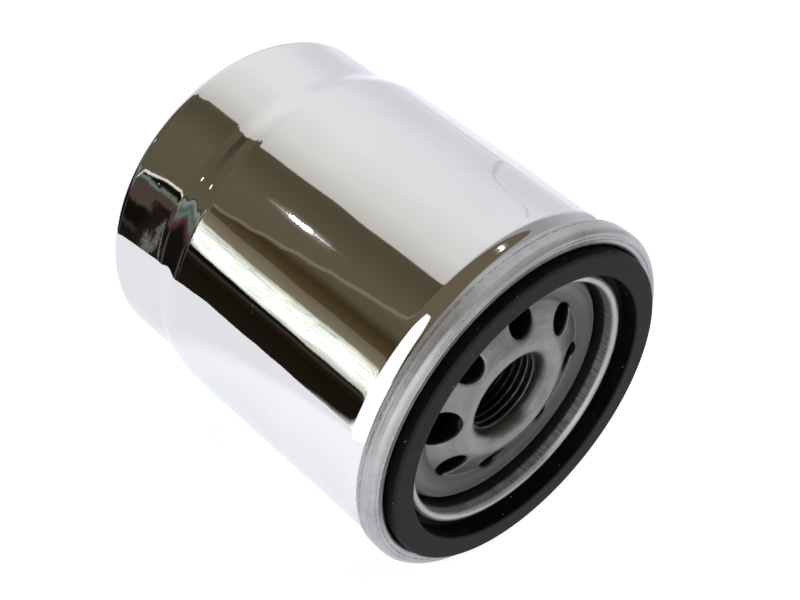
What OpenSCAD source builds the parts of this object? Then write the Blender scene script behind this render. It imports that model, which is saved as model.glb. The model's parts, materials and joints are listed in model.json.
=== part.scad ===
// Spin-on oil filter lying on its side.
// The axis runs along Y: the sealing gasket faces -Y and the closed dome points to +Y.
// The origin is on the axis, in the plane where the threaded bore begins.
// Outlines are lists of [radius, depth]; depth 0 is the gasket's sealing face.

/* [Can] */
// Outer diameter of the can's body
can_dia = 76.2; // [70:0.1:82]
// Length from the gasket's sealing face to the end of the dome
can_length = 86.4; // [84:0.1:110]
// Wall thickness of the can
can_wall = 0.4; // [0.3:0.05:0.6]
// How much smaller than the body the grip band next to the dome is, in radius
band_drop = 1.5; // [0.5:0.1:2]
// Length of the grip band, from the dome's end to the middle of its shoulder
band_length = 20; // [14:0.5:22]
// Radius of the dome's corner
dome_corner_r = 3; // [2:0.25:5]

/* [Gasket] */
// Outer diameter of the gasket
gasket_dia = 70.5; // [70:0.1:70.6]
// Inner diameter of the gasket
gasket_bore = 60.3; // [59:0.1:62]
// Height of the gasket that stands proud of the seam
gasket_proud = 2.3; // [1.5:0.1:3]

/* [Base plate] */
// Bore diameter of the thread, at its crests (3/4-16 UNF)
thread_bore = 17.6; // [17.4:0.05:17.9]
// Length of the threaded bore
thread_length = 9.6; // [8:0.1:9.6]
// Number of oil inlet holes
inlet_count = 8; // [6:1:8]
// Diameter of an inlet hole
inlet_dia = 6.3; // [5:0.1:6.6]
// Diameter of the one larger inlet hole
large_inlet_dia = 8.4; // [6:0.1:8.6]
// Diameter of the circle on which the inlet holes lie
inlet_circle = 35.4; // [34:0.1:36]

/* [Filter element] */
// Number of pleats in the paper
pleat_count = 48; // [36:1:60]
// Thickness of the paper
paper = 0.6; // [0.4:0.05:0.7]
// Rows of holes along the centre tube
tube_rows = 8; // [5:1:9]
// Diameter of a hole in the centre tube
tube_hole_dia = 4.6; // [3:0.1:5]

/* [Hidden] */
$fn = 96;

// The thread begins this far behind the gasket's sealing face.
thread_depth = 7.2;

// Can
body_r = can_dia / 2;
band_r = body_r - band_drop;
shoulder_length = 8;
shoulder_z = can_length - band_length;
throat_r = 37.15;         // outer radius of the can where it enters the rolled seam
throat_z = 7.2;
flare_z = 10.6;           // the body reaches its full radius here
hook_gap = 0.5;           // space inside the can's seam hook
hook_z = 3.9;
hook_end_z = 5.5;         // end of the can's sheet, inside the rolled seam
panel_r = 22;             // pressed panel in the middle of the dome
panel_depth = 1;
panel_draft = 1.5;        // how much wider the panel's step is at its top

// Seam lid: the sheet that holds the gasket and is rolled over the can's rim
lid_t = 0.45;
lid_r = 38.5;             // middle of the rolled outer wall
lid_panel_z = gasket_proud + lid_t / 2;
lid_hook_z = 4.4;         // end of the lid's sheet, inside the rolled seam
roll_r = 0.55;            // radius of the seam's rolled end
roll_z = 6.1;
lid_corner_r = 1.3;       // outer corner of the lid's face
lid_corner_z = 4.8;       // the corner blends into the outer wall here
channel_edge_r = 0.5;     // rounding from the lid's face into the gasket channel
channel_corner_r = 0.6;   // roundings at the bottom of the gasket channel
channel_r = 35.65;        // middle of the gasket channel's outer wall
channel_z = 6.85;         // middle of the channel's floor
lip_outer_r = 28.4;
lip_r = 0.7;              // radius of the folded lip
lip_z = 3.9;
lip_inner_r = lip_outer_r - 2 * lip_r;
lip_end_z = 8.7;

// Base plate
plate_top = 7.35;         // face under the gasket channel
plate_r = 36.4;
plate_t = 3;
crest_r = 12;             // the hub's highest ring
crest_z = 4.35;
mouth_r = 2.85;           // rounding from the hub into the thread
flank_start_r = 13.7;
flank_slope = 22.5;
valley_r = 20.3;
ridge_r = 23;             // top of the low ridge outside the valley
ridge_z = 6.7;
ridge_round = 5.06;
bead_r = 24;              // the ridge's outer corner
bead_round = 2.2;
bead_z = 9;
groove_z = 9.6;           // floor of the groove under the lid's lip
groove_in_r = 26.4;
groove_out_r = 28.1;
groove_back_z = 12.4;     // inside of the groove
rim_round = 1.2;          // rounding from the groove up to the outer rim
seal_ring_z = 9.6;        // flat ring on the inside that the drain-back flap closes on
seal_ring_in_r = 21.2;
seal_ring_out_r = 23.9;
web_z = 8.1;              // inside of the sloping web, next to the collar
collar_r = 11.8;
collar_chamfer = 0.6;
collar_fillet = 2;        // rounding from the web into the collar
collar_end = thread_depth + thread_length + collar_chamfer;
inlet_turn = -9;          // direction of the first inlet hole
large_inlet = 4;          // which inlet hole is the larger one

// Drain-back valve
valve_gap = 0.12;
valve_bore_r = collar_r + 0.05;
valve_hub_r = 14;
valve_from = 12.4;        // front of the clamped ring
valve_foot_r = 16.6;      // foot of the clamped ring, against the end cap
flap_bend = [17, 12];     // the cone bends here, and again nearer to its lip
flap_knee = [21.8, 10.6];
flap_lip_r = 23.2;
flap_t = 1;

// Filter element
cap_t = 0.4;
cap_r = 32.6;             // middle of an end cap's rim
cap_rim = 3.6;
lower_cap_z = 18.85;      // middle of the lower end cap's disc
upper_cap_z = 71.3;
bond_t = 1.9;
tube_r = 15;
tube_wall = 0.5;
media_in_r = 15.5;
media_out_r = 31.7;
media_from = lower_cap_z + cap_t / 2 + bond_t + 0.1;
media_to = upper_cap_z - cap_t / 2 - bond_t - 0.1;
clip_depth = 3.2;
clip_t = 0.4;

// Bypass valve, in the upper end cap
seat_bore_r = 6.5;
seat_r = 9.6;
seat_face = 69;
stem_r = 1.85;
poppet_r = 8.6;
cage_r = 9.95;            // middle of the cage's wall
cage_t = 0.5;
cage_floor = 57.3;
cage_flange_r = 13.2;

function arc(center, r, from, to, steps = 8) =
  [for (i = [0:steps]) center + r * [cos(from + (to - from) * i / steps), sin(from + (to - from) * i / steps)]];

// A smooth step from one point to another, level at both ends along the depth.
function ease(a, b, steps = 10) =
  [for (i = [0:steps]) [a.x + (b.x - a.x) * (1 - cos(180 * i / steps)) / 2, a.y + (b.y - a.y) * i / steps]];

function unit(v) = v / norm(v);
function turned(v) = [-v.y, v.x];

// The mitred sideways direction at point i of a path.
function side(path, i) =
  let (
    before = unit(turned(path[i] - path[max(i - 1, 0)] + (i == 0 ? path[1] - path[0] : [0, 0]))),
    last = len(path) - 1,
    after = i == last ? before : unit(turned(path[i + 1] - path[i]))
  )
  (before + after) / (1 + before * after);

// The outline of a sheet that follows a path, from offset a to offset b on its left.
function sheet(path, a, b) = concat(
  [for (i = [0:len(path) - 1]) path[i] + a * side(path, i)],
  [for (i = [len(path) - 1:-1:0]) path[i] + b * side(path, i)]
);

// Outside of the can, from its seam hook to the middle of the dome.
can_path = concat(
  [[throat_r + hook_gap, hook_end_z]],
  arc([throat_r + hook_gap / 2, hook_z], hook_gap / 2, 0, -180, 8),
  ease([throat_r, throat_z], [body_r, flare_z]),
  ease([body_r, shoulder_z - shoulder_length / 2], [band_r, shoulder_z + shoulder_length / 2]),
  arc([band_r - dome_corner_r, can_length - dome_corner_r], dome_corner_r, 0, 90, 8),
  [[panel_r + panel_draft, can_length]],
  [[panel_r, can_length - panel_depth]],
  [[0, can_length - panel_depth]]
);

// Middle of the seam lid's sheet, from the hook inside the seam to the folded lip's end.
lid_path = concat(
  [[throat_r + hook_gap / 2, lid_hook_z]],
  arc([lid_r - roll_r, roll_z], roll_r, 180, 0, 8),
  [[lid_r + 0.03, lid_corner_z]],
  arc([lid_r - lid_corner_r, lid_panel_z + lid_corner_r + 0.05], lid_corner_r, -15, -75, 6),
  [[channel_r + 1.6, lid_panel_z]],
  arc([channel_r + channel_edge_r, lid_panel_z + channel_edge_r], channel_edge_r, -90, -180, 6),
  arc([channel_r - channel_corner_r, channel_z - channel_corner_r], channel_corner_r, 0, 90, 6),
  arc([lip_outer_r + channel_corner_r, channel_z - channel_corner_r], channel_corner_r, 90, 180, 6),
  arc([lip_outer_r - lip_r, lip_z], lip_r, 0, -180, 10),
  [[lip_inner_r, lip_end_z]]
);

flank_start = [flank_start_r, crest_z + 0.4];
valley = flank_start + (valley_r - flank_start_r) * [1, tan(flank_slope)];

// Section of the base plate: outward over the face, and back along the inside.
plate_outline = concat(
  [[thread_bore / 2, collar_end - collar_chamfer], [thread_bore / 2, thread_depth]],
  arc([crest_r, crest_z + mouth_r], mouth_r, 180, 270, 8),
  [flank_start, valley],
  arc([ridge_r, ridge_z + ridge_round], ridge_round, 240, 290, 8),
  arc([bead_r, bead_z], bead_round, -60, 0, 6),
  [[groove_in_r, groove_z], [groove_out_r, groove_z]],
  arc([groove_out_r + 1.9, plate_top + rim_round], rim_round, 180, 270, 6),
  [[plate_r, plate_top], [plate_r, plate_top + plate_t - 0.5], [plate_r - 0.5, plate_top + plate_t]],
  [[groove_out_r + 1.5, plate_top + plate_t], [groove_out_r + 0.3, groove_back_z]],
  [[groove_in_r - 0.8, groove_back_z]],
  [[seal_ring_out_r, seal_ring_z], [seal_ring_in_r, seal_ring_z], [seal_ring_in_r - 0.9, seal_ring_z + 0.8]],
  [[collar_r + collar_fillet + 1.2, web_z]],
  arc([collar_r + collar_fillet, web_z + 1.8], collar_fillet, 240, 180, 5),
  [[collar_r, collar_end - collar_chamfer], [collar_r - collar_chamfer, collar_end]],
  [[thread_bore / 2 + collar_chamfer, collar_end]]
);

// Turns an outline drawn as [radius, depth] into place along the Y axis.
module lay() {
  rotate([-90, 0, 0])
    translate([0, 0, -thread_depth])
      children();
}

module turned_ring(outline) {
  lay()
    rotate_extrude()
      polygon(outline);
}

function box(r1, r2, z1, z2) = [[r1, z1], [r2, z1], [r2, z2], [r1, z2]];

// Round wire wound as a helix with its two end turns closed flat.
module coil(mean_r, wire_r, z1, z2, turns) {
  ring = 8;
  per_turn = 24;
  steps = turns * per_turn;
  low = z1 + wire_r;
  lift = z2 - z1 - 2 * wire_r - 2 * wire_r * 0.9;
  function height(t) =
    low + wire_r * 0.9 * (min(t, 1) + max(t - turns + 1, 0))
    + lift * min(max((t - 0.75) / (turns - 1.5), 0), 1);
  points = [
    for (i = [0:steps])
      let (t = i / per_turn, a = 360 * t)
        for (k = [0:ring - 1])
          let (r = mean_r + wire_r * cos(360 * k / ring))
            [r * cos(a), r * sin(a), height(t) + wire_r * sin(360 * k / ring)]
  ];
  sides = [
    for (i = [0:steps - 1], k = [0:ring - 1])
      [i * ring + k, i * ring + (k + 1) % ring, (i + 1) * ring + (k + 1) % ring, (i + 1) * ring + k]
  ];
  ends = [[for (k = [ring - 1:-1:0]) k], [for (k = [0:ring - 1]) steps * ring + k]];
  lay()
    polyhedron(points, concat(sides, ends));
}

module can() {
  color("silver")
    turned_ring(sheet(can_path, 0, can_wall));
}

module seam_lid() {
  color("lightgray")
    turned_ring(sheet(lid_path, -lid_t / 2, lid_t / 2));
}

// Sealing compound that fills the seam between the lid and the can.
module seam_compound() {
  color("olive")
    turned_ring(box(channel_r + lid_t / 2 + 0.02, throat_r - can_wall - 0.02, hook_z, channel_z));
}

module gasket() {
  out_r = gasket_dia / 2;
  in_r = gasket_bore / 2;
  floor_z = channel_z - lid_t / 2 - 0.02;
  foot_r = lip_outer_r + lid_t / 2 + 0.1;
  color([0.12, 0.12, 0.13])
    turned_ring(concat(
      [[in_r, 0.25], [in_r + 0.25, 0]],
      arc([out_r - 0.8, 0.8], 0.8, -90, 0, 6),
      [[out_r, floor_z - 0.7], [out_r - 0.7, floor_z], [foot_r + 0.7, floor_z]],
      [[foot_r, floor_z - 0.7], [foot_r, 4.4], [in_r, 4]]
    ));
}

module base_plate() {
  color("dimgray")
    difference() {
      turned_ring(plate_outline);
      for (i = [0:inlet_count - 1])
        rotate([0, -(inlet_turn + i * 360 / inlet_count), 0])
          translate([inlet_circle / 2, -thread_depth, 0])
            rotate([-90, 0, 0])
              cylinder(h = 14, d = i == large_inlet ? large_inlet_dia : inlet_dia);
    }
}

// Weld nuggets between the lid's channel floor and the base plate.
module spot_welds() {
  count = 8;
  circle_r = 32.4;
  nugget_dia = 4.4;
  from = channel_z + lid_t / 2;
  color("gray")
    lay()
      for (i = [0:count - 1])
        rotate([0, 0, i * 360 / count + 12])
          translate([circle_r, 0, from])
            cylinder(h = plate_top - from, d = nugget_dia, $fn = 32);
}

// Clamped ring of the rubber drain-back valve, on the base plate's collar.
module drainback_hub() {
  back = lower_cap_z - cap_t / 2 - 0.05;
  color("darkslategray")
    turned_ring([
      [valve_bore_r, valve_from], [valve_hub_r, valve_from], [valve_hub_r, back - 1.4],
      [valve_foot_r, back - 1], [valve_foot_r, back], [valve_bore_r, back]
    ]);
}

// Thin cone of the same valve that covers the inlet holes from inside.
module drainback_flap() {
  root = valve_hub_r + valve_gap;
  root_z = valve_from + 0.2;
  seal_z = seal_ring_z + valve_gap;
  color("darkslategray")
    turned_ring([
      [root, root_z], flap_bend, flap_knee, [flap_lip_r - 0.7, seal_z], [flap_lip_r + 0.3, seal_z],
      [flap_lip_r + 0.5, seal_z + 1.3], [flap_lip_r - 0.6, seal_z + 1.7],
      flap_bend + [0.3, flap_t], [root, root_z + flap_t]
    ]);
}

module lower_end_cap() {
  z = lower_cap_z;
  neck_r = tube_r - tube_wall - 0.35;
  color("darkseagreen")
    turned_ring(sheet(
      concat(
        [[neck_r, z + cap_rim]],
        arc([neck_r + 0.5, z + 0.5], 0.5, 180, 270, 5),
        arc([cap_r - 0.5, z + 0.5], 0.5, -90, 0, 5),
        [[cap_r, z + cap_rim]]
      ),
      -cap_t / 2, cap_t / 2
    ));
}

module lower_bond() {
  color("firebrick")
    turned_ring(box(tube_r + 0.05, cap_r - 0.3, lower_cap_z + cap_t / 2 + 0.02, media_from));
}

// Perforated steel tube that keeps the pleats from collapsing.
module center_tube() {
  z1 = lower_cap_z + cap_t / 2 + 0.02;
  z2 = upper_cap_z - cap_t / 2 - 0.02;
  around = 10;
  margin = 4;
  pitch = (z2 - z1 - 2 * margin) / tube_rows;
  color("lightsteelblue")
    lay()
      difference() {
        rotate_extrude()
          polygon(box(tube_r - tube_wall, tube_r, z1, z2));
        for (row = [0:tube_rows - 1], i = [0:around - 1])
          rotate([0, 0, (i + (row % 2) / 2) * 360 / around])
            translate([tube_r - 2, 0, z1 + margin + pitch * (row + 0.5)])
              rotate([0, 90, 0])
                cylinder(h = 4, d = tube_hole_dia, $fn = 24);
      }
}

// One closed sheet of paper, folded to and fro between two radii.
module pleated_media() {
  half = 180 / pleat_count;
  inner_turn = paper / media_in_r * 30;
  outer_turn = paper / media_out_r * 30;
  function spot(r, a) = [r * cos(a), r * sin(a)];
  outside = [
    for (i = [0:pleat_count - 1])
      let (a = 2 * half * i)
        each [
          spot(media_out_r, a - outer_turn), spot(media_out_r, a + outer_turn),
          spot(media_in_r + paper, a + half - inner_turn / 2),
          spot(media_in_r + paper, a + half + inner_turn / 2)
        ]
  ];
  inside = [
    for (i = [0:pleat_count - 1])
      let (a = 2 * half * i)
        each [
          spot(media_out_r - paper, a),
          spot(media_in_r, a + half - inner_turn), spot(media_in_r, a + half + inner_turn)
        ]
  ];
  color("khaki")
    lay()
      translate([0, 0, media_from + 0.02])
        linear_extrude(height = media_to - media_from - 0.04)
          difference() {
            polygon(outside);
            polygon(inside);
          }
}

// Crimped metal clip that closes the paper's two ends along one pleat.
module media_seam_clip() {
  gap = 1.8;
  length = media_to - media_from - 3;
  color("lightgray")
    lay()
      translate([media_out_r + 0.1 - clip_depth, 0, media_from + 1.5])
        difference() {
          translate([0, -gap / 2 - clip_t, 0])
            cube([clip_depth + clip_t, gap + 2 * clip_t, length]);
          translate([-1, -gap / 2, -1])
            cube([clip_depth + 1, gap, length + 2]);
        }
}

module upper_bond() {
  color("firebrick")
    turned_ring(box(tube_r + 0.05, cap_r - 0.3, media_to, upper_cap_z - cap_t / 2 - 0.02));
}

module upper_end_cap() {
  z = upper_cap_z;
  color("darkseagreen")
    turned_ring(sheet(
      concat(
        [[cap_r, z - cap_rim]],
        arc([cap_r - 0.5, z - 0.5], 0.5, 0, 90, 5),
        [[cage_r + cage_t / 2 + 0.15, z]]
      ),
      -cap_t / 2, cap_t / 2
    ));
}

module bypass_seat() {
  flange_z = upper_cap_z + cap_t / 2 + cage_t + 0.05;
  color("goldenrod")
    turned_ring([
      [seat_bore_r, seat_face], [seat_bore_r + 0.8, seat_face], [seat_r, seat_face + 0.8], [seat_r, flange_z],
      [cage_flange_r, flange_z], [cage_flange_r, flange_z + 0.85], [seat_bore_r + 1, flange_z + 0.85],
      [seat_bore_r, flange_z]
    ]);
}

// Rubber washer on the poppet that closes on the seat.
module bypass_seal() {
  color("black")
    turned_ring(box(3.1, poppet_r - 0.3, seat_face - 1, seat_face - 0.06));
}

module bypass_poppet() {
  back = seat_face - 1.9;
  color("goldenrod")
    turned_ring([
      [0, cage_floor - 1.6], [stem_r - 0.4, cage_floor - 1.6], [stem_r, cage_floor - 1.2], [stem_r, back],
      [poppet_r, back], [poppet_r, seat_face - 1.04], [3, seat_face - 1.04], [3, seat_face + 0.2],
      [2.5, seat_face + 0.7], [0, seat_face + 0.7]
    ]);
}

module bypass_spring() {
  mean_r = 5.4;
  wire_r = 0.45;
  turns = 5;
  color("gainsboro")
    coil(mean_r, wire_r, cage_floor + cage_t / 2 + 0.03, seat_face - 1.93, turns);
}

// Pressed cup that holds the bypass spring, with four windows for the oil.
module bypass_cage() {
  flange_z = upper_cap_z + cap_t / 2 + cage_t / 2;
  window = 9;
  window_height = 8;
  color("lightgray")
    difference() {
      turned_ring(sheet(
        concat(
          [[stem_r + 0.06, cage_floor]],
          arc([cage_r - 0.8, cage_floor + 0.8], 0.8, -90, 0, 5),
          arc([cage_r + 0.5, flange_z - 0.5], 0.5, 180, 90, 5),
          [[cage_flange_r, flange_z]]
        ),
        -cage_t / 2, cage_t / 2
      ));
      lay()
        for (i = [0:1])
          rotate([0, 0, 90 * i])
            translate([-15, -window / 2, cage_floor + 1.6])
              cube([30, window, window_height]);
    }
}

// Coil that holds the element against the drain-back valve.
module element_spring() {
  dome_inside = can_length - panel_depth - can_wall;
  mean_r = 17;
  wire_r = 0.8;
  turns = 3.5;
  color("gainsboro")
    coil(mean_r, wire_r, upper_cap_z + cap_t / 2 + 0.03, dome_inside - 0.03, turns);
}

can();
seam_lid();
seam_compound();
gasket();
base_plate();
spot_welds();
drainback_hub();
drainback_flap();
lower_end_cap();
lower_bond();
center_tube();
pleated_media();
media_seam_clip();
upper_bond();
upper_end_cap();
bypass_seat();
bypass_seal();
bypass_poppet();
bypass_spring();
bypass_cage();
element_spring();
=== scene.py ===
import json
import math

import bmesh
import bpy
import numpy as np
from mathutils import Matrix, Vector

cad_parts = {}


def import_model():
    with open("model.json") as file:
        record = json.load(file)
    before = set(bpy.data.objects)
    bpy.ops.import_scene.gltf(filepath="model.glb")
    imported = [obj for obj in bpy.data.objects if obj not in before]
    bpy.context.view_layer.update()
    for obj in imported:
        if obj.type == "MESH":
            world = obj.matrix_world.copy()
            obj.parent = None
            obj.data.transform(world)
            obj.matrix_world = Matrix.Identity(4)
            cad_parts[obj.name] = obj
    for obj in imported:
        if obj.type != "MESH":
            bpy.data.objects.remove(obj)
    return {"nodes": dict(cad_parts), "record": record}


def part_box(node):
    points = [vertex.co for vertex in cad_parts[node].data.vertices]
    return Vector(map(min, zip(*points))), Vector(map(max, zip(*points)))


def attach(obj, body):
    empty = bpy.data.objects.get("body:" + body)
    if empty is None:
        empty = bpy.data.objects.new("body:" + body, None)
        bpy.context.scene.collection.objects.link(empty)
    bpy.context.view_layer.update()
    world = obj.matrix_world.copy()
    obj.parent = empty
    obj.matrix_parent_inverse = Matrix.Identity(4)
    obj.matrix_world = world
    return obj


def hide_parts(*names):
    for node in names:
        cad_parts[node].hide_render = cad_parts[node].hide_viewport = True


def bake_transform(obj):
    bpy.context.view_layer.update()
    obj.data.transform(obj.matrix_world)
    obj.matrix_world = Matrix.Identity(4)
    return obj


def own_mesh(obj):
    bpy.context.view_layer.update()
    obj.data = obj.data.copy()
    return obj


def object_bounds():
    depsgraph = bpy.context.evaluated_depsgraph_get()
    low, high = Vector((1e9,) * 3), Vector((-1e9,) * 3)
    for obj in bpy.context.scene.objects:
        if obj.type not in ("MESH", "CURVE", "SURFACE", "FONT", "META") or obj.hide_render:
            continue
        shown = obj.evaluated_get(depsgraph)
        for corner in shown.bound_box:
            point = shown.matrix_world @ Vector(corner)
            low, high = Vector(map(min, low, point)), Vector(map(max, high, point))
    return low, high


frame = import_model()
cad_low, cad_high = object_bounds()

MM = 0.001
FACE_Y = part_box("gasket")[0].y            # the gasket's sealing face
DOME_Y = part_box("can")[1].y               # end of the closed dome
BODY_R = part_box("can")[1].x / MM          # outer radius of the can's body
LENGTH = (DOME_Y - FACE_Y) / MM
FLOOR_Z = cad_low[2]

# ---------------------------------------------------------------- sizes in mm: R is a radius, AT a depth

CAN_WALL = 0.4
SHOULDER_LENGTH = 8.0
SHOULDER_AT = LENGTH - 20.0               # middle of the shoulder next to the grip band
BAND_R = BODY_R - 1.5
DOME_CORNER = 3.0
THROAT_R, THROAT_AT, FLARE_AT = 37.15, 7.2, 10.6
PANEL_R, PANEL_DEPTH = 22.0, 1.0

LID_T = 0.45
LID_R = 38.5
LID_PANEL = 2.3 + LID_T / 2
RIDGE_R, CREASE_R = 36.9, 37.35           # lines round the seam's face
SEAM_LINE_AT = 4.7                        # a line round the seam's outer wall
CHANNEL_R, CHANNEL_AT = 35.65, 6.85
LIP_OUT, LIP_R, LIP_AT, LIP_END = 28.4, 0.7, 3.9, 8.7
LIP_IN = LIP_OUT - 2 * LIP_R

THREAD = frame["record"]["mounts"][0]["dims"]
BORE_R = THREAD["r_mm"]
THREAD_AT = -FACE_Y / MM
THREAD_END = THREAD_AT + THREAD["length_mm"]
THREAD_PITCH = 25.4 / 16
THREAD_ROOT_R = 19.05 / 2
COLLAR_END = THREAD_END + 0.6
CREST_R, CREST_AT, MOUTH_R = 12.0, 4.35, 2.85
FLANK_R, FLANK_END_R, FLANK_AT = 13.7, 20.3, CREST_AT + 0.4
FLANK_SLOPE = math.tan(math.radians(22.5))
GROOVE_AT = 9.6
PLATE_R, PLATE_AT, PLATE_T = 36.4, 7.35, 3.0
PLATE_END = PLATE_AT + PLATE_T
INLETS = 8
INLET_CIRCLE_R, INLET_R, LARGE_INLET_R = 17.7, 3.15, 4.2
INLET_TURN = math.radians(-9)
LARGE_INLET = 4


def depth_of(node, end):
    """How far a node's low (0) or high (1) end is behind the gasket's face, in millimetres."""
    return (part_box(node)[end].y - FACE_Y) / MM


# ---------------------------------------------------------------- outlines, as (radius, depth) in mm

def arc(center, r, start, end, steps=8):
    """Points of a circular arc, from start to end in degrees."""
    turns = np.radians(np.linspace(start, end, steps + 1))
    return [(center[0] + r * math.cos(t), center[1] + r * math.sin(t)) for t in turns]


def ease(a, b, steps=16):
    """A smooth step between two points, level at both ends along the depth."""
    share = np.linspace(0, 1, steps + 1)
    return [(a[0] + (b[0] - a[0]) * (1 - math.cos(math.pi * s)) / 2, a[1] + (b[1] - a[1]) * s) for s in share]


def ease_across(a, b, steps=10):
    """A smooth step between two points of a flat face, level at both ends along the radius."""
    swapped = ease(a[::-1], b[::-1], steps)
    return [(r, d) for d, r in swapped]


def sheet(path, a, b):
    """The closed outline of a sheet that follows a path, from offset a to offset b on its left."""
    points = np.array(path, float)
    steps = np.diff(points, axis=0)
    steps /= np.linalg.norm(steps, axis=1)[:, None]
    left = np.stack([-steps[:, 1], steps[:, 0]], 1)
    before = np.vstack([left[:1], left])
    after = np.vstack([left, left[-1:]])
    side = (before + after) / (1 + (before * after).sum(1))[:, None]
    return [tuple(p) for p in np.vstack([points + a * side, (points + b * side)[::-1]])]


def densify(outline, step, closed=True):
    """The same outline with no stretch longer than step(radius, depth) millimetres."""
    points = [np.array(p, float) for p in outline]
    ends = points[1:] + points[:1] if closed else points[1:]
    out = []
    for p, q in zip(points, ends):
        middle = (p + q) / 2
        count = max(1, math.ceil(np.linalg.norm(q - p) / step(*middle)))
        out += [tuple(p + (q - p) * i / count) for i in range(count)]
    if not closed:
        out.append(tuple(points[-1]))
    return out


# ---------------------------------------------------------------- meshes

def make_object(name, verts, faces, sharp_angle=32):
    """An object in the scene, smooth apart from edges sharper than an angle in degrees."""
    mesh = bpy.data.meshes.new(name)
    mesh.from_pydata([tuple(v) for v in verts], [], faces)
    work = bmesh.new()
    work.from_mesh(mesh)
    bmesh.ops.recalc_face_normals(work, faces=work.faces)
    work.to_mesh(mesh)
    work.free()
    mesh.shade_smooth()
    mesh.set_sharp_from_angle(angle=math.radians(sharp_angle))
    obj = bpy.data.objects.new(name, mesh)
    bpy.context.scene.collection.objects.link(obj)
    return obj


def lathe(name, outline, around=256, shape=None, sharp_angle=32):
    """A solid turned about the Y axis. An outline that starts and ends on the axis is closed there by poles.
    shape(radius, depth, angle) may move the points, to add detail that isn't the same all round."""
    on_axis = outline[0][0] < 1e-9 and outline[-1][0] < 1e-9
    rows = outline[1:-1] if on_axis else outline
    r, d = (np.array(c, float)[:, None] for c in zip(*rows))
    angle = np.arange(around)[None, :] * 2 * math.pi / around
    r, d = r + 0 * angle, d + 0 * angle
    if shape:
        r, d = shape(r, d, angle + 0 * r)
    y = FACE_Y + d * MM
    verts = np.stack([r * np.cos(angle) * MM, y, r * np.sin(angle) * MM], -1).reshape(-1, 3)
    count = len(rows)
    spans = range(count - 1) if on_axis else range(count)
    faces = []
    for i in spans:
        low, high = i * around, (i + 1) % count * around
        faces += [(low + k, low + (k + 1) % around, high + (k + 1) % around, high + k) for k in range(around)]
    if on_axis:
        first, last = len(verts), len(verts) + 1
        verts = np.vstack([verts, [(0, FACE_Y + outline[end][1] * MM, 0) for end in (0, -1)]])
        faces += [(first, (k + 1) % around, k) for k in range(around)]
        top = (count - 1) * around
        faces += [(last, top + k, top + (k + 1) % around) for k in range(around)]
    return make_object(name, verts, faces, sharp_angle)


def tube(name, path, radius, sides=16):
    """Round wire along a path of points, with slightly domed ends."""
    points = np.array(path, float)
    along = np.gradient(points, axis=0)
    along /= np.linalg.norm(along, axis=1)[:, None]
    out = points * [1, 0, 1]
    out /= np.linalg.norm(out, axis=1)[:, None]
    out -= (out * along).sum(1)[:, None] * along
    out /= np.linalg.norm(out, axis=1)[:, None]
    across = np.cross(along, out)
    turn = np.arange(sides) * 2 * math.pi / sides
    rings = [
        points[i] + s * (np.cos(turn)[:, None] * out[i] + np.sin(turn)[:, None] * across[i]) + push * along[i]
        for i, s, push in [(0, radius * 0.75, -radius * 0.2)]
        + [(i, radius, 0) for i in range(len(points))]
        + [(len(points) - 1, radius * 0.75, radius * 0.2)]
    ]
    verts = np.vstack(rings)
    faces = [
        (i * sides + k, i * sides + (k + 1) % sides, (i + 1) * sides + (k + 1) % sides, (i + 1) * sides + k)
        for i in range(len(rings) - 1)
        for k in range(sides)
    ]
    faces += [tuple(range(sides)), tuple((len(rings) - 1) * sides + k for k in range(sides))]
    return make_object(name, verts, faces, 50)


def wave(seed, count, lowest=2, highest=9):
    """A smooth random ripple round the axis, about -1 to 1, as a function of the angle."""
    draw = np.random.default_rng(seed)
    orders = draw.integers(lowest, highest, count)
    phases = draw.uniform(0, 2 * math.pi, count)
    sizes = draw.uniform(0.4, 1, count) / count
    return lambda angle: sum(s * np.sin(k * angle + p) for s, k, p in zip(sizes, orders, phases))


def hump(gap, width):
    """A smooth bump of height 1 around the place that the gap is measured from."""
    return np.exp(-((gap / width) ** 2))


def finish_piece(obj, body, slot_name, *nodes):
    """Gives a piece the body it rides on and its material, and hides the CAD nodes it stands for."""
    obj.data.materials.clear()
    obj.data.materials.append(materials[slot_name])
    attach(obj, body)
    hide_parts(*nodes)


# ---------------------------------------------------------------- materials

def add(tree, kind, inputs=None, **settings):
    """One shader node. Inputs are values or other nodes' sockets, by name or number."""
    made = tree.nodes.new(kind)
    for key, value in settings.items():
        setattr(made, key, value)
    for key, value in (inputs or {}).items():
        if isinstance(value, bpy.types.NodeSocket):
            tree.links.new(value, made.inputs[key])
        else:
            made.inputs[key].default_value = value
    return made


def calc(tree, operation, a, b=0.0, c=0.0):
    return add(tree, "ShaderNodeMath", {0: a, 1: b, 2: c}, operation=operation).outputs[0]


def times(tree, first, *others):
    """The product of several values. For shares from 0 to 1, it is what lies in all of them."""
    for other in others:
        first = calc(tree, "MULTIPLY", first, other)
    return first


def line(tree, value, slope, at, level):
    """A straight line of a value, with the given slope, that is at a level where the value is at a place."""
    return calc(tree, "MULTIPLY_ADD", value, slope, level - at * slope)


def vector(tree, x, y, z=0.0):
    return add(tree, "ShaderNodeCombineXYZ", {0: x, 1: y, 2: z}).outputs[0]


def ramp(tree, value, stops):
    """A colour ramp through (place, colour or grey) stops."""
    made = add(tree, "ShaderNodeValToRGB", {0: value})
    elements = made.color_ramp.elements
    while len(elements) < len(stops):
        elements.new(0.5)
    for element, (place, color) in zip(elements, stops):
        element.position = place
        element.color = (*color, 1) if hasattr(color, "__len__") else (color, color, color, 1)
    return made.outputs[0]


def noise(tree, where, scale, detail=3.0, rough=0.5):
    return add(
        tree, "ShaderNodeTexNoise", {"Vector": where, "Scale": scale, "Detail": detail, "Roughness": rough}
    ).outputs[0]


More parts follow.
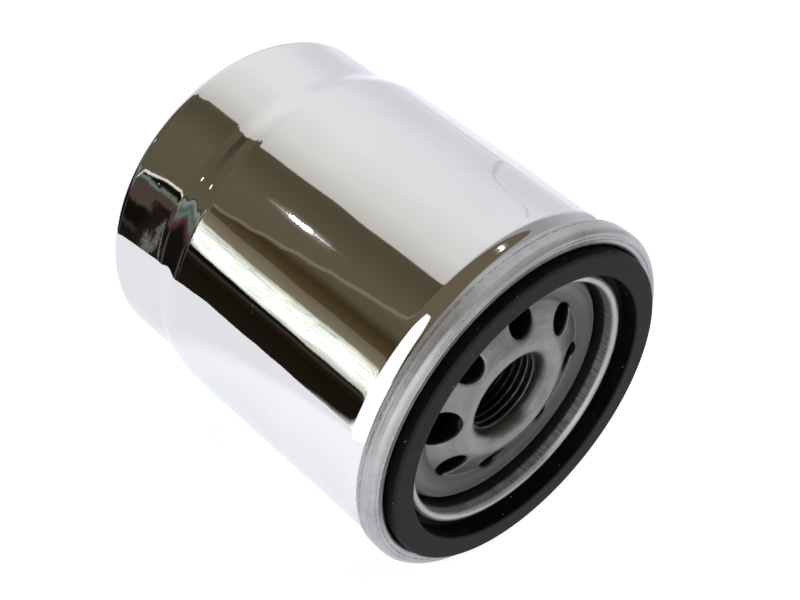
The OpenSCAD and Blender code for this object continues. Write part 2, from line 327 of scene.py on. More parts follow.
def new_material(name):
    material = bpy.data.materials.new(name)
    material.use_nodes = True
    tree = material.node_tree
    shader = tree.nodes["Principled BSDF"]
    place = add(tree, "ShaderNodeTexCoord").outputs["Object"]
    return material, tree, shader, place


def polar(tree, place):
    """How far a point is from the part's axis, its place along the axis, and its angle round it."""
    parts = add(tree, "ShaderNodeSeparateXYZ", {0: place}).outputs
    squares = [calc(tree, "MULTIPLY", part, part) for part in (parts[0], parts[2])]
    radius = calc(tree, "SQRT", calc(tree, "ADD", *squares))
    return radius, parts[1], calc(tree, "ARCTAN2", parts[2], parts[0])


def turned_place(tree, place, radial, axial, angular):
    """Coordinates that follow a turned part: radius, place along the axis and angle, each with its scale."""
    scales = (radial, axial, angular)
    return vector(tree, *[calc(tree, "MULTIPLY", *pair) for pair in zip(polar(tree, place), scales)])


def depth_and_radius(tree, place):
    """How far a point is behind the gasket's face and from the axis, in millimetres."""
    radius, along, _ = polar(tree, place)
    depth = calc(tree, "MULTIPLY_ADD", along, 1 / MM, -FACE_Y / MM)
    return depth, calc(tree, "MULTIPLY", radius, 1 / MM)


def spread(tree, value, low, high):
    """Where a value lies between low and high, from 0 to 1, with soft ends."""
    return add(
        tree, "ShaderNodeMapRange", {0: value, 1: low, 2: high}, interpolation_type="SMOOTHSTEP"
    ).outputs[0]


def past(tree, value, edge, width):
    """0 before an edge and 1 after it. The edge may be a number or a socket."""
    return spread(tree, calc(tree, "SUBTRACT", value, edge), -width / 2, width / 2)


def before(tree, value, edge, width):
    """1 before an edge and 0 after it."""
    return calc(tree, "SUBTRACT", 1.0, past(tree, value, edge, width))


def blend_color(tree, share, a, b, kind="MIX"):
    """Mixes two colours, each a tuple or a socket."""
    pair = [c if isinstance(c, bpy.types.NodeSocket) else (*c, 1) for c in (a, b)]
    inputs = {"Fac": share, "Color1": pair[0], "Color2": pair[1]}
    return add(tree, "ShaderNodeMixRGB", inputs, blend_type=kind).outputs[0]


def lay(tree, color, layers):
    """Lays tones over a colour, one after another. Each layer is where, how strongly, and the tone."""
    for where, strength, tone in layers:
        color = blend_color(tree, calc(tree, "MULTIPLY", where, strength), color, tone)
    return color


def bump(tree, shader, *layers):
    """Stacks bump layers of (height socket, distance in metres)."""
    normal = None
    for height, distance in layers:
        inputs = {"Strength": 1.0, "Distance": distance, "Height": height}
        if normal is not None:
            inputs["Normal"] = normal
        normal = add(tree, "ShaderNodeBump", inputs).outputs[0]
    tree.links.new(normal, shader.inputs["Normal"])


def chrome():
    """Bright plating: a faint polishing waviness, a fine haze and a few specks."""
    material, tree, shader, place = new_material("chrome_plate")
    shader.inputs["Metallic"].default_value = 1.0
    cloud = noise(tree, place, 38, 3)
    color = ramp(tree, cloud, [(0.3, (0.70, 0.70, 0.705)), (0.7, (0.73, 0.73, 0.73))])
    specks = ramp(tree, noise(tree, place, 800, 2), [(0.79, 0.0), (0.82, 1.0)])
    tree.links.new(blend_color(tree, specks, color, (0.3, 0.29, 0.27)), shader.inputs["Base Color"])
    haze = ramp(tree, noise(tree, place, 120, 4), [(0.3, 0.01), (0.75, 0.03)])
    tree.links.new(haze, shader.inputs["Roughness"])
    # The slow waviness runs around the can, and fades out towards the middle of the dome.
    slow = noise(tree, turned_place(tree, place, 60, 40, 2.2), 1.0, 2)
    slow = calc(tree, "MULTIPLY", slow, spread(tree, depth_and_radius(tree, place)[1], 26.0, 34.0))
    fine = noise(tree, place, 1500, 2)
    pits = ramp(tree, noise(tree, place, 620, 1), [(0.80, 1.0), (0.84, 0.0)])
    bump(tree, shader, (slow, 0.0001), (fine, 0.0000012), (pits, 0.00001))
    return material


# Tones of painted shade.
NEAR_BLACK = (0.004, 0.004, 0.004)
SHADE_BLACK = (0.006, 0.006, 0.006)
FLANK_SHADE = (0.02, 0.02, 0.021)


def lid_painted_shade(tree, place, color):
    """Painted shade on the seam: patchy dark lines along its creases, and on the lip's inner wall a darker
    tone, dark ticks in its crimping marks and black at its foot.
    """
    depth, radius = depth_and_radius(tree, place)
    # Painted shade along the seam's crease lines, broken up by noise.
    patchy = spread(tree, noise(tree, place, 700, 4, 0.7), 0.36, 0.56)
    face_line = times(
        tree, spread(tree, radius, RIDGE_R - 0.35, RIDGE_R - 0.15), before(tree, radius, RIDGE_R + 0.08, 0.2)
    )
    wall_line = times(
        tree, past(tree, depth, SEAM_LINE_AT + 0.65, 0.12), before(tree, depth, SEAM_LINE_AT + 1.0, 0.12),
        past(tree, radius, LID_R - 0.3, 0.1),
    )
    lines = times(tree, calc(tree, "MAXIMUM", face_line, wall_line), patchy)
    # Painted shade: the lip's inner wall is darker.
    inside = before(tree, radius, LIP_IN + 0.6, 0.3)
    wall = times(tree, inside, past(tree, depth, LIP_AT, 0.5))
    # Painted shade in the crimping dents, as dark ticks round the wall.
    angle = polar(tree, place)[2]
    marks_place = vector(tree, calc(tree, "MULTIPLY", angle, 46.0), calc(tree, "MULTIPLY", depth, 0.25))
    dent_shade = spread(tree, noise(tree, marks_place, 1.0, 2, 0.4), 0.46, 0.56)
    # Painted shade: black at the foot of the lip's inner wall.
    foot = times(tree, inside, past(tree, depth, LIP_AT + 1.7, 0.8))
    # All four tones are painted shade.
    return lay(tree, color, [
        (lines, 0.6, (0.07, 0.07, 0.075)),
        (times(tree, wall, dent_shade), 0.5, (0.04, 0.04, 0.045)),
        (wall, 0.45, (0.12, 0.12, 0.125)),
        (foot, 0.97, NEAR_BLACK),
    ])


def plate_painted_shade_and_highlights(tree, place, color):
    """Painted shade darkens the thread, the mouth of the bore, the foot of the flank, the bead's side, the
    outer groove and the walls of the inlet holes. Painted highlights make the thread's crests bright and the
    bead's top pale."""
    depth, radius = depth_and_radius(tree, place)
    # Painted shade at the foot of the flank and low on it.
    flank_foot = past(tree, radius, FLANK_END_R + 0.1, 0.5)
    flank_low = spread(tree, radius, FLANK_END_R - 2.8, FLANK_END_R - 0.8)
    # Painted shade on the bead's side, and painted light on its top.
    bead_side = spread(tree, radius, 22.0, 24.0)
    bead_top = spread(tree, radius, 24.3, 25.6)
    # Painted shade in the mouth of the bore.
    mouth = before(tree, radius, BORE_R + 1.0, 0.8)
    thread = times(
        tree, before(tree, radius, THREAD_ROOT_R + 0.225, 0.3), past(tree, depth, THREAD_AT + 0.05, 0.3)
    )
    # Painted shade in the thread's roots and deeper down the bore, and a painted highlight on its crests.
    root = times(tree, thread, past(tree, radius, BORE_R + 0.04, 0.06))
    crest = times(tree, thread, before(tree, radius, BORE_R + 0.05, 0.07))
    down_thread = times(tree, thread, spread(tree, depth, THREAD_AT + 1.1, THREAD_AT + 5.3))
    # What lies a little behind the flank, and behind the hub's round shoulder, is an inlet hole's wall.
    behind_flank = line(tree, radius, FLANK_SLOPE, FLANK_R, FLANK_AT + 0.55)
    behind_hub = line(tree, radius, -2.0, FLANK_R + 0.2, FLANK_AT + 0.55)
    # Painted shade: the walls of the inlet holes are near black.
    inlet_walls = times(
        tree, spread(tree, radius, 11.2, 11.4), before(tree, radius, FLANK_END_R + 1.3, 0.3),
        past(tree, depth, calc(tree, "MAXIMUM", behind_flank, behind_hub), 0.3),
    )
    # Painted shade in the outer groove.
    groove = past(tree, radius, 26.55, 0.3)
    return lay(tree, color, [
        (flank_foot, 0.68, FLANK_SHADE),
        (flank_low, 0.2, FLANK_SHADE),
        (bead_side, 0.8, (0.11, 0.11, 0.112)),
        (bead_top, 0.9, (0.27, 0.27, 0.272)),
        (mouth, 0.6, SHADE_BLACK),
        (root, 0.95, SHADE_BLACK),
        (crest, 0.3, (0.6, 0.6, 0.58)),
        (down_thread, 0.85, (0.003, 0.003, 0.003)),
        (inlet_walls, 0.93, NEAR_BLACK),
        (groove, 0.95, NEAR_BLACK),
    ])


DULLING = 0.75                            # how much less metallic the dull part of a sheet looks


def sheet_metal(
    name, dark, light, rough, rings=900, grain=0.00001, cloud=90,
    anisotropic=0.0, metallic=1.0, painted_light=None, dull=None,
):
    """Satin sheet steel, with fine rings from forming, a mottled tone and a slight grain. Its tone and its
    roughness run between two values. Painted light and shade may be laid over its tone, and it may turn dull
    between two radii."""
    material, tree, shader, place = new_material(name)
    shader.inputs["Metallic"].default_value = metallic
    shader.inputs["Anisotropic"].default_value = anisotropic
    mottle = noise(tree, place, cloud, 5, 0.62)
    ring = noise(tree, turned_place(tree, place, rings, rings, 1.5), 1.0, 3)
    grit = noise(tree, place, 2600, 3, 0.7)
    mix = calc(tree, "MULTIPLY_ADD", mottle, 0.45, calc(tree, "MULTIPLY", grit, 0.25))
    mix = calc(tree, "MULTIPLY_ADD", ring, 0.3, mix)
    color = ramp(tree, mix, [(0.35, dark), (0.65, light)])
    # Painted light and shade laid over the tone.
    if painted_light:
        color = painted_light(tree, place, color)
    if dull:
        share = spread(tree, depth_and_radius(tree, place)[1], *dull)
        tree.links.new(calc(tree, "MULTIPLY_ADD", share, -DULLING, metallic), shader.inputs["Metallic"])
    tree.links.new(color, shader.inputs["Base Color"])
    wear = calc(tree, "MULTIPLY_ADD", grit, 0.4, calc(tree, "MULTIPLY", mottle, 0.6))
    tree.links.new(ramp(tree, wear, [(0.3, rough[0]), (0.7, rough[1])]), shader.inputs["Roughness"])
    bump(tree, shader, (ring, grain * 0.7), (grit, grain), (mottle, grain * 3))
    return material


RUBBER_DUST = (0.16, 0.16, 0.165)


def rubber(name, dark, light, rough=(0.42, 0.6), grain=0.00003, face=None, sheen=1.0):
    """Moulded rubber with a fine skin, dusty patches, dust specks and faint moulding rings. Its sealing face
    may have a lighter tone of its own, which is a painted sheen, and the sheen argument scales its gloss."""
    material, tree, shader, place = new_material(name)
    dust = noise(tree, place, 210, 6, 0.65)
    skin = noise(tree, place, 3200, 3, 0.6)
    ring = noise(tree, turned_place(tree, place, 1400, 1400, 0.6), 1.0, 2)
    color = ramp(tree, dust, [(0.35, dark), (0.75, light)])
    specks = ramp(tree, noise(tree, place, 1700, 2), [(0.735, 0.0), (0.77, 1.0)])
    dusted = blend_color(tree, specks, color, RUBBER_DUST)
    # Painted sheen: the sealing face gets a lighter tone than the sides.
    if face:
        on_face = before(tree, depth_and_radius(tree, place)[0], 0.4, 0.3)
        dusted = blend_color(tree, on_face, dusted, blend_color(tree, specks, face, RUBBER_DUST))
    tree.links.new(dusted, shader.inputs["Base Color"])
    tree.links.new(ramp(tree, dust, [(0.3, rough[0]), (0.7, rough[1])]), shader.inputs["Roughness"])
    gloss = ramp(tree, dust, [(0.3, 0.03 * sheen), (0.7, 0.055 * sheen)])
    tree.links.new(gloss, shader.inputs["Specular IOR Level"])
    bump(tree, shader, (ring, grain * 0.5), (skin, grain))
    return material


def filter_paper():
    """Resin-treated cellulose: crossed fibres, pale flecks and a dry surface."""
    material, tree, shader, place = new_material("filter_paper")
    stretched = add(tree, "ShaderNodeMapping", {0: place, "Scale": (3, 0.6, 3)}).outputs[0]
    fibres = noise(tree, stretched, 1100, 6, 0.7)
    fleck = noise(tree, place, 500, 4, 0.6)
    mix = calc(tree, "MULTIPLY_ADD", fleck, 0.4, calc(tree, "MULTIPLY", fibres, 0.6))
    tones = [(0.32, (0.55, 0.40, 0.15)), (0.5, (0.72, 0.57, 0.27)), (0.68, (0.83, 0.72, 0.43))]
    tree.links.new(ramp(tree, mix, tones), shader.inputs["Base Color"])
    rough = ramp(tree, fleck, [(0.3, 0.78), (0.7, 0.95)])
    tree.links.new(rough, shader.inputs["Roughness"])
    bump(tree, shader, (fibres, 0.00006))
    return material


def cured_resin(name, dark, light):
    """Poured plastisol or sealing compound, with soft ripples and small bubbles."""
    material, tree, shader, place = new_material(name)
    flow = noise(tree, place, 140, 4)
    bubbles = add(tree, "ShaderNodeTexVoronoi", {"Vector": place, "Scale": 900.0}).outputs["Distance"]
    color = ramp(tree, flow, [(0.3, dark), (0.7, light)])
    tree.links.new(color, shader.inputs["Base Color"])
    rough = ramp(tree, flow, [(0.3, 0.35), (0.7, 0.6)])
    tree.links.new(rough, shader.inputs["Roughness"])
    bump(tree, shader, (flow, 0.0004), (bubbles, 0.00003))
    return material


materials = {
    "chrome": chrome(),
    "zinc_steel": sheet_metal(
        "zinc_sheet", (0.25, 0.25, 0.26), (0.43, 0.43, 0.445), (0.24, 0.42), rings=2600, grain=0.00004,
        cloud=160, anisotropic=0.3, metallic=0.62, painted_light=lid_painted_shade,
    ),
    "plate_steel": sheet_metal(
        "plate_steel", (0.13, 0.13, 0.133), (0.255, 0.251, 0.251), (0.28, 0.44), rings=700, grain=0.00002,
        cloud=210, metallic=0.85, painted_light=plate_painted_shade_and_highlights, dull=(21.5, 24.5),
    ),
    "weld": sheet_metal(
        "weld_metal", (0.16, 0.14, 0.12), (0.34, 0.32, 0.30), (0.35, 0.6), rings=300, grain=0.00003, cloud=700
    ),
    "cap_steel": sheet_metal("cap_sheet", (0.42, 0.44, 0.41), (0.58, 0.60, 0.57), (0.25, 0.42), rings=800),
    "tube_steel": sheet_metal(
        "tube_sheet", (0.36, 0.37, 0.39), (0.52, 0.53, 0.55), (0.28, 0.45), rings=600, cloud=160
    ),
    "clip_steel": sheet_metal("clip_sheet", (0.46, 0.47, 0.48), (0.6, 0.61, 0.62), (0.25, 0.4), cloud=120),
    "valve_steel": sheet_metal("valve_sheet", (0.46, 0.38, 0.2), (0.66, 0.57, 0.34), (0.25, 0.42), cloud=130),
    "spring_steel": sheet_metal(
        "spring_wire", (0.13, 0.13, 0.14), (0.3, 0.3, 0.32), (0.25, 0.4), rings=500, cloud=400
    ),
    # The gasket's face tone is a painted sheen.
    "gasket_rubber": rubber(
        "gasket_rubber", (0.0010, 0.0010, 0.0011), (0.0025, 0.0025, 0.0028), face=(0.0115, 0.0115, 0.013)
    ),
    "valve_rubber": rubber(
        "valve_rubber", (0.0012, 0.0012, 0.0013), (0.004, 0.004, 0.0043), (0.3, 0.48), sheen=0.2
    ),
    "filter_paper": filter_paper(),
    "bond": cured_resin("plastisol", (0.30, 0.06, 0.04), (0.50, 0.13, 0.09)),
    "compound": cured_resin("sealing_compound", (0.22, 0.19, 0.13), (0.38, 0.33, 0.24)),
}
node_slots = {row["node"]: row["material_slot"] for row in frame["record"]["subparts"]}
for node_name, node_object in frame["nodes"].items():
    node_object.data.materials.clear()
    node_object.data.materials.append(materials[node_slots[node_name]])


# ---------------------------------------------------------------- the can

def can_shell():
    """One sheet: rolled in over the lid, then the body, the shoulder, the grip band and the closed dome."""
    hook = 0.5
    path = [(THROAT_R + hook, 5.5)]
    path += arc((THROAT_R + hook / 2, 3.9), hook / 2, 0, -180)
    path += ease((THROAT_R, THROAT_AT), (BODY_R, FLARE_AT))
    path += ease((BODY_R, SHOULDER_AT - SHOULDER_LENGTH / 2), (BAND_R, SHOULDER_AT + SHOULDER_LENGTH / 2), 24)
    path += arc((BAND_R - DOME_CORNER, LENGTH - DOME_CORNER), DOME_CORNER, 0, 90, 16)
    path += ease_across((PANEL_R + 1.8, LENGTH), (PANEL_R, LENGTH - PANEL_DEPTH))
    path += [(0, LENGTH - PANEL_DEPTH)]
    outline = sheet(path, 0, CAN_WALL)
    half = len(outline) // 2
    outer, inner = outline[:half], outline[half:]
    outer[-1] = (0.0, outer[-1][1])
    inner[0] = (0.0, inner[0][1])
    loop = outer[::-1] + inner[::-1]
    loop = densify(loop, lambda r, d: 1.0, closed=False)
    sway, dent = wave(3, 5), wave(4, 7, 3, 12)

    def shape(r, d, angle):
        body = np.clip((d - 12) / 6, 0, 1) * np.clip((LENGTH - 6 - d) / 6, 0, 1)
        near_shoulder = hump(d - SHOULDER_AT, 5)
        pull = 0.012 * body * sway(angle + d * 0.03) + 0.05 * near_shoulder * dent(angle)
        return r - 0.02 - pull - 0.02 * body, d

    obj = lathe("can_shell", loop, 360, shape, 50)
    finish_piece(obj, "housing", "chrome", "can")


# ---------------------------------------------------------------- seam and gasket

def seam_ring():
    """The lid's sheet: over the can's rim, down into the gasket's channel, and up and over at the inner lip,
    whose inner wall is dented by the crimping tool."""
    path = [(THROAT_R + 0.25, 4.4)]
    path += arc((LID_R - 0.55, 6.1), 0.55, 180, 0, 14)
    path += [(LID_R + 0.03, 4.8)]
    path += arc((LID_R - 1.3, LID_PANEL + 1.35), 1.3, -15, -75, 12)
    path += [(CHANNEL_R + 1.6, LID_PANEL)]
    path += arc((CHANNEL_R + 0.5, LID_PANEL + 0.5), 0.5, -90, -180, 8)
    path += arc((CHANNEL_R - 0.6, CHANNEL_AT - 0.6), 0.6, 0, 90, 8)
    path += arc((LIP_OUT + 0.6, CHANNEL_AT - 0.6), 0.6, 90, 180, 8)
    path += arc((LIP_OUT - LIP_R, LIP_AT), LIP_R, 0, -180, 18)
    path += [(LIP_IN, LIP_END)]
    outline = sheet(path, -LID_T / 2, LID_T / 2)
    outline = densify(outline, lambda r, d: 0.16 if r > 35 or r < 28 else 0.5)
    draw = np.random.default_rng(11)
    ticks = 252
    around = ticks * 3
    pressed = np.repeat(draw.uniform(0.25, 1, ticks) * (draw.uniform(0, 1, ticks) > 0.12), 3)
    pressed = pressed * np.tile([1.0, 0.15, 0.0], ticks)
    fade = 0.55 + 0.9 * wave(5, 5, 1, 6)(np.arange(around) * 2 * math.pi / around)
    depth_round = np.clip(fade, 0.15, 1) * pressed
    ripple, drift = wave(7, 6, 3, 20), wave(8, 4, 2, 7)

    def shape(r, d, angle):
        inner_wall = np.clip((28 - r) / 0.3, 0, 1) * np.clip((d - LIP_AT - 0.4) / 0.4, 0, 1)
        inner_wall = inner_wall * np.clip((LIP_END - 0.6 - d) / 0.4, 0, 1)
        r = r + 0.11 * inner_wall * depth_round[None, :]
        rim = np.clip((r - 36.3) / 0.4, 0, 1)
        on_face = np.clip((4 - d) / 0.5, 0, 1)
        crease = hump(r - CREASE_R - 0.06 * drift(angle), 0.13) * on_face
        ridge = hump(r - RIDGE_R, 0.25) * on_face
        d = d + 0.14 * crease - 0.03 * ridge + 0.02 * rim * ripple(angle)
        groove = hump(d - SEAM_LINE_AT - 0.05 * drift(angle + 1), 0.12) * np.clip((r - 38.3) / 0.2, 0, 1)
        return r - 0.05 * groove - 0.015 * rim * (1 + ripple(angle + 2)), d

    obj = lathe("seam_ring", outline, around, shape, 40)
    finish_piece(obj, "housing", "zinc_steel", "seam_lid")


def gasket_ring():
    """The flat-faced ring in the lid's channel, with a little flash along its mould's parting line."""
    out_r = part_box("gasket")[1].x / MM
    in_r = 30.15
    floor_at = depth_of("gasket", 1)
    foot_r = LIP_OUT + LID_T / 2 + 0.1
    outline = arc((in_r + 0.3, 0.3), 0.3, 180, 270, 5)
    outline += arc((out_r - 0.8, 0.8), 0.8, -90, 0, 8)
    outline += [(out_r - 0.02, 2.2), (out_r - 0.02, 3.6)]
    outline += arc((out_r - 0.7, floor_at - 0.7), 0.7, 0, 90, 5)
    outline += arc((foot_r + 0.7, floor_at - 0.7), 0.7, 90, 180, 5)
    outline += [(foot_r, 4.5), (in_r - 0.15, 4.05), (in_r, 3.7)]
    outline = densify(outline, lambda r, d: 0.3)
    sway, nick = wave(21, 5, 2, 7), wave(22, 30, 20, 90)

    def shape(r, d, angle):
        parting = hump(d - 1.55, 0.1)
        outside = np.clip((r - out_r + 0.6) / 0.4, 0, 1)
        inside = np.clip((in_r + 0.5 - r) / 0.4, 0, 1)
        flash = 0.05 * parting * (1 + nick(angle))
        r = r - 0.06 * outside * (1 + sway(angle)) + flash * outside - flash * inside
        face = np.clip((0.4 - d) / 0.3, 0, 1)
        d = d + 0.02 * face * (1 + 0.9 * sway(angle + 1))
        return r, d

    obj = lathe("gasket_ring", outline, 300, shape, 40)
    finish_piece(obj, "housing", "gasket_rubber", "gasket")


# ---------------------------------------------------------------- base plate

def inlet_places():
    """Angle and radius of each oil inlet hole."""
    return [
        (INLET_TURN + i * 2 * math.pi / INLETS, LARGE_INLET_R if i == LARGE_INLET else INLET_R)
        for i in range(INLETS)
    ]


def thread_offset(turns):
    """How much deeper than its crest a unified thread is cut, for a place measured in pitches."""
    crest, flank = 0.22, 0.63
    place = np.abs((turns % 1) - 0.5) * 2
    return (THREAD_ROOT_R - BORE_R) * np.clip((place - crest) / flank, 0, 1)


def base_plate():
    """The pressed plate, with its thread, its inlet holes with rolled edges, and a slightly uneven face."""
    # From the bore: the hub's rounds, the flank, the valley, the bead, the groove, the rim and the rear face.
    outline = [(BORE_R, THREAD_END), (BORE_R, THREAD_AT)]
    outline += arc((CREST_R, CREST_AT + MOUTH_R), MOUTH_R, 180, 270, 14)
    outline += arc((CREST_R + 0.3, CREST_AT + 4), 4, 270, 293, 6)[1:]
    outline += [(FLANK_END_R, FLANK_AT + (FLANK_END_R - FLANK_R) * FLANK_SLOPE)]
    outline += arc((23, 11.76), 5.06, 240, 290, 14)
    outline += arc((24, 9), 2.2, -60, 0, 8)
    outline += [(26.4, GROOVE_AT), (28.1, GROOVE_AT)]
    outline += arc((30, PLATE_AT + 1.2), 1.2, 180, 270, 6)
    outline += [(PLATE_R, PLATE_AT), (PLATE_R, PLATE_END - 0.5), (PLATE_R - 0.5, PLATE_END)]
    outline += [(29.6, PLATE_END), (28.4, GROOVE_AT + 2.8), (25.6, GROOVE_AT + 2.8)]
    outline += [(23.9, 9.6), (21.2, 9.6), (20.3, 10.4), (15, 8.1)]
    outline += arc((13.8, 9.9), 2, 240, 180, 5)
    outline += [(11.8, THREAD_END), (11.2, COLLAR_END), (BORE_R + 0.6, COLLAR_END)]

    def step(r, d):
        if r < BORE_R + 0.05:
            return THREAD_PITCH / 18
        return 0.24 if 13.5 < r < 23 and d < 9 else 0.5

    outline = densify(outline, step)
    around = 400
    holes = inlet_places()
    press, mark = wave(31, 5, 2, 6), wave(32, 9, 5, 24)

    def shape(r, d, angle):
        bore = (r < BORE_R + 1e-6) & (d > THREAD_AT - 1e-6)
        turns = (d - THREAD_AT) / THREAD_PITCH - angle / (2 * math.pi)
        cut = np.minimum(thread_offset(turns), 0.3 + 1.2 * np.clip(d - THREAD_AT, 0, None))
        cut = np.minimum(cut, 0.12 + 0.8 * np.clip(THREAD_END - d, 0, None))
        thread = np.where(bore, BORE_R + cut, r)
        face = np.clip((9.2 - d) / 0.6, 0, 1) * np.clip((r - 9.3) / 1.5, 0, 1) * np.clip((29 - r) / 2, 0, 1)
        roll = 0
        for hole_angle, hole_r in holes:
            x_gap = r * np.cos(angle) - INLET_CIRCLE_R * math.cos(hole_angle)
            z_gap = r * np.sin(angle) - INLET_CIRCLE_R * math.sin(hole_angle)
            gap = np.sqrt(x_gap ** 2 + z_gap ** 2) - hole_r
            roll = roll + 0.16 * np.exp(-np.clip(gap, 0, None) / 0.24)
        pressed = 0.03 * (1 + press(angle + r * 0.1)) + 0.012 * (1 + mark(angle - r * 0.2))
        return thread, d + face * (roll + pressed)

    obj = lathe("base_plate_pressing", outline, around, shape, 35)
    cutters = []
    circle = INLET_CIRCLE_R * MM
    for hole_angle, hole_r in holes:
        bpy.ops.mesh.primitive_cylinder_add(
            vertices=96, radius=hole_r * MM, depth=14 * MM,
            location=(circle * math.cos(hole_angle), FACE_Y + 8 * MM, circle * math.sin(hole_angle)),
            rotation=(math.pi / 2, 0, 0),
        )
        cutters.append(bpy.context.object)
    for cutter in cutters:
        cut = obj.modifiers.new("inlet", "BOOLEAN")
        cut.operation = "DIFFERENCE"
        cut.solver = "MANIFOLD"
        cut.object = cutter
    bake_modifiers(obj)
    for cutter in cutters:
        bpy.data.objects.remove(cutter)
    obj.data.set_sharp_from_angle(angle=math.radians(35))
    finish_piece(obj, "housing", "plate_steel", "base_plate")


def bake_modifiers(obj):
    """Replaces the object's mesh with what its modifiers make of it."""
    graph = bpy.context.evaluated_depsgraph_get()
    graph.update()
    made = bpy.data.meshes.new_from_object(obj.evaluated_get(graph))
    obj.modifiers.clear()
    obj.data = made


# ---------------------------------------------------------------- rubber valve and springs

def drainback_valve():
    """One rubber moulding in place of the hub and the flap: its ring is clamped on the plate's collar, and
    its cone is the flap.
    """
    top = depth_of("drainback_hub", 1)
    bore_r, foot_r = 11.85, 16.6
    outline = [(bore_r, 12.45), (13.9, 12.45), (14.1, 12.62), (17, 12.0), (21.8, 10.6)]
    outline += [(22.5, 9.74), (23.4, 9.74)]
    outline += arc((22.9, 10.75), 0.72, -10, 95, 6)
    outline += [(17.3, 13.0), (14.5, 13.75), (14.3, 14.5), (14.3, 16.9), (foot_r, 17.7)]
    outline += [(foot_r, top - 0.02), (bore_r, top - 0.02)]
    outline = densify(outline, lambda r, d: 0.4)
    sway = wave(41, 5, 3, 9)

    def shape(r, d, angle):
        cone = np.clip((r - 18) / 4, 0, 1)
        return r, d + 0.04 * cone * (1 + sway(angle))

    obj = lathe("drainback_valve", outline, 240, shape, 40)
    obj.data.materials.append(materials["valve_rubber"])
    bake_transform(obj)
    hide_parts("drainback_hub", "drainback_flap")


def coil(name, mean_r, wire_r, low, high, turns, node, body):
    """A helical compression spring with its end turns closed, between two depths."""
    per_turn = 48
    t = np.arange(int(turns * per_turn) + 1) / per_turn
    closed = 2 * wire_r * 0.9
    lift = high - low - 2 * wire_r - closed
    height = low + wire_r + closed / 2 * (np.minimum(t, 1) + np.maximum(t - turns + 1, 0))
    height += lift * np.clip((t - 0.75) / (turns - 1.5), 0, 1)
    angle = 2 * math.pi * t
    path = np.stack([mean_r * MM * np.cos(angle), FACE_Y + height * MM, mean_r * MM * np.sin(angle)], 1)
    obj = tube(name, path, wire_r * MM)
    finish_piece(obj, body, "spring_steel", node)
    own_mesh(obj)


can_shell()
seam_ring()
gasket_ring()
base_plate()
drainback_valve()
element_low, element_high = depth_of("element_spring", 0), depth_of("element_spring", 1)
coil(
    "element_coil", 17.0, 0.8, element_low, element_high, 3.5,
    "element_spring", "housing",
)
bypass_low, bypass_high = depth_of("bypass_spring", 0), depth_of("bypass_spring", 1)
coil(
    "bypass_coil", 5.4, 0.45, bypass_low, bypass_high, 5.0,
    "bypass_spring", "element",
)


# ---------------------------------------------------------------- stage, lights and camera

def floor_material(name):
    """A lit white sheet, as on a light table, with the faintest tone variation."""
    material, tree, shader, place = new_material(name)
    cloud = noise(tree, place, 3, 2)
    color = ramp(tree, cloud, [(0.3, (0.33, 0.335, 0.35)), (0.7, (0.35, 0.355, 0.37))])
    tree.links.new(color, shader.inputs["Base Color"])
    glow = ramp(tree, cloud, [(0.3, (0.93, 0.955, 1.0)), (0.7, (0.95, 0.97, 1.0))])
    # The light falls off beyond the dome. Only the chrome shows it: the sheet itself looks evenly white.
    far = spread(tree, polar(tree, place)[1], 0.074, 0.094)
    mirrored = calc(tree, "SUBTRACT", 1.0, add(tree, "ShaderNodeLightPath").outputs["Is Camera Ray"])
    glow = blend_color(tree, times(tree, far, mirrored), glow, (0.70, 0.715, 0.75))
    tree.links.new(glow, shader.inputs["Emission Color"])
    shader.inputs["Emission Strength"].default_value = 0.80
    rough = ramp(tree, cloud, [(0.3, 0.85), (0.7, 0.95)])
    tree.links.new(rough, shader.inputs["Roughness"])
    shader.inputs["Specular IOR Level"].default_value = 0.1
    return material


def plane(name, low, high, z):
    verts = [(low[0], low[1], z), (high[0], low[1], z), (high[0], high[1], z), (low[0], high[1], z)]
    obj = make_object(name, verts, [(0, 1, 2, 3)])
    return obj


def floors():
    """A sheet of white card under the part, and a wide floor that only the camera sees."""
    material = floor_material("white_card")
    card = plane("card_floor", (-0.187, -0.45), (0.27, 0.165), FLOOR_Z)
    wide = plane("wide_floor", (-6, -6), (6, 6), FLOOR_Z - 0.0004)
    for obj in (card, wide):
        obj.data.materials.append(material)
    wide.visible_glossy = False
    wide.visible_diffuse = False


# The room around the part: colours by the angle about the part's long axis, in degrees from +X over the top.
CLOTH = [
    (-60, (0.93, 0.96, 1.05)),
    (-16, (0.93, 0.93, 1.03)),
    (-8, (0.84, 0.84, 0.91)),
    (6, (0.85, 0.86, 0.89)),
    (31, (1.0, 1.0, 1.03)),
    (56, (1.02, 1.02, 1.04)),
    (82, (0.88, 0.87, 0.83)),
    (97, (0.68, 0.67, 0.62)),
]
OLIVE = [
    (96, (0.115, 0.10, 0.062)),
    (104, (0.10, 0.085, 0.05)),
    (124, (0.148, 0.125, 0.078)),
    (152, (0.136, 0.116, 0.072)),
]
BOARD = [
    (118, (0.17, 0.14, 0.09)),
    (136, (0.12, 0.10, 0.06)),
    (139.5, (0.075, 0.057, 0.03)),
    (142, (0.058, 0.038, 0.015)),
    (149.8, (0.105, 0.075, 0.036)),
    (150.6, (0.19, 0.16, 0.10)),
    (158, (0.27, 0.235, 0.165)),
]
PANE = [
    (156, (0.42, 0.41, 0.31)),
    (158.5, (0.86, 0.85, 0.70)),
    (161, (1.35, 1.35, 1.22)),
    (166, (1.9, 1.9, 1.8)),
    (172, (1.8, 1.8, 1.7)),
    (174.5, (1.2, 1.2, 1.1)),
    (178, (0.42, 0.42, 0.36)),
]
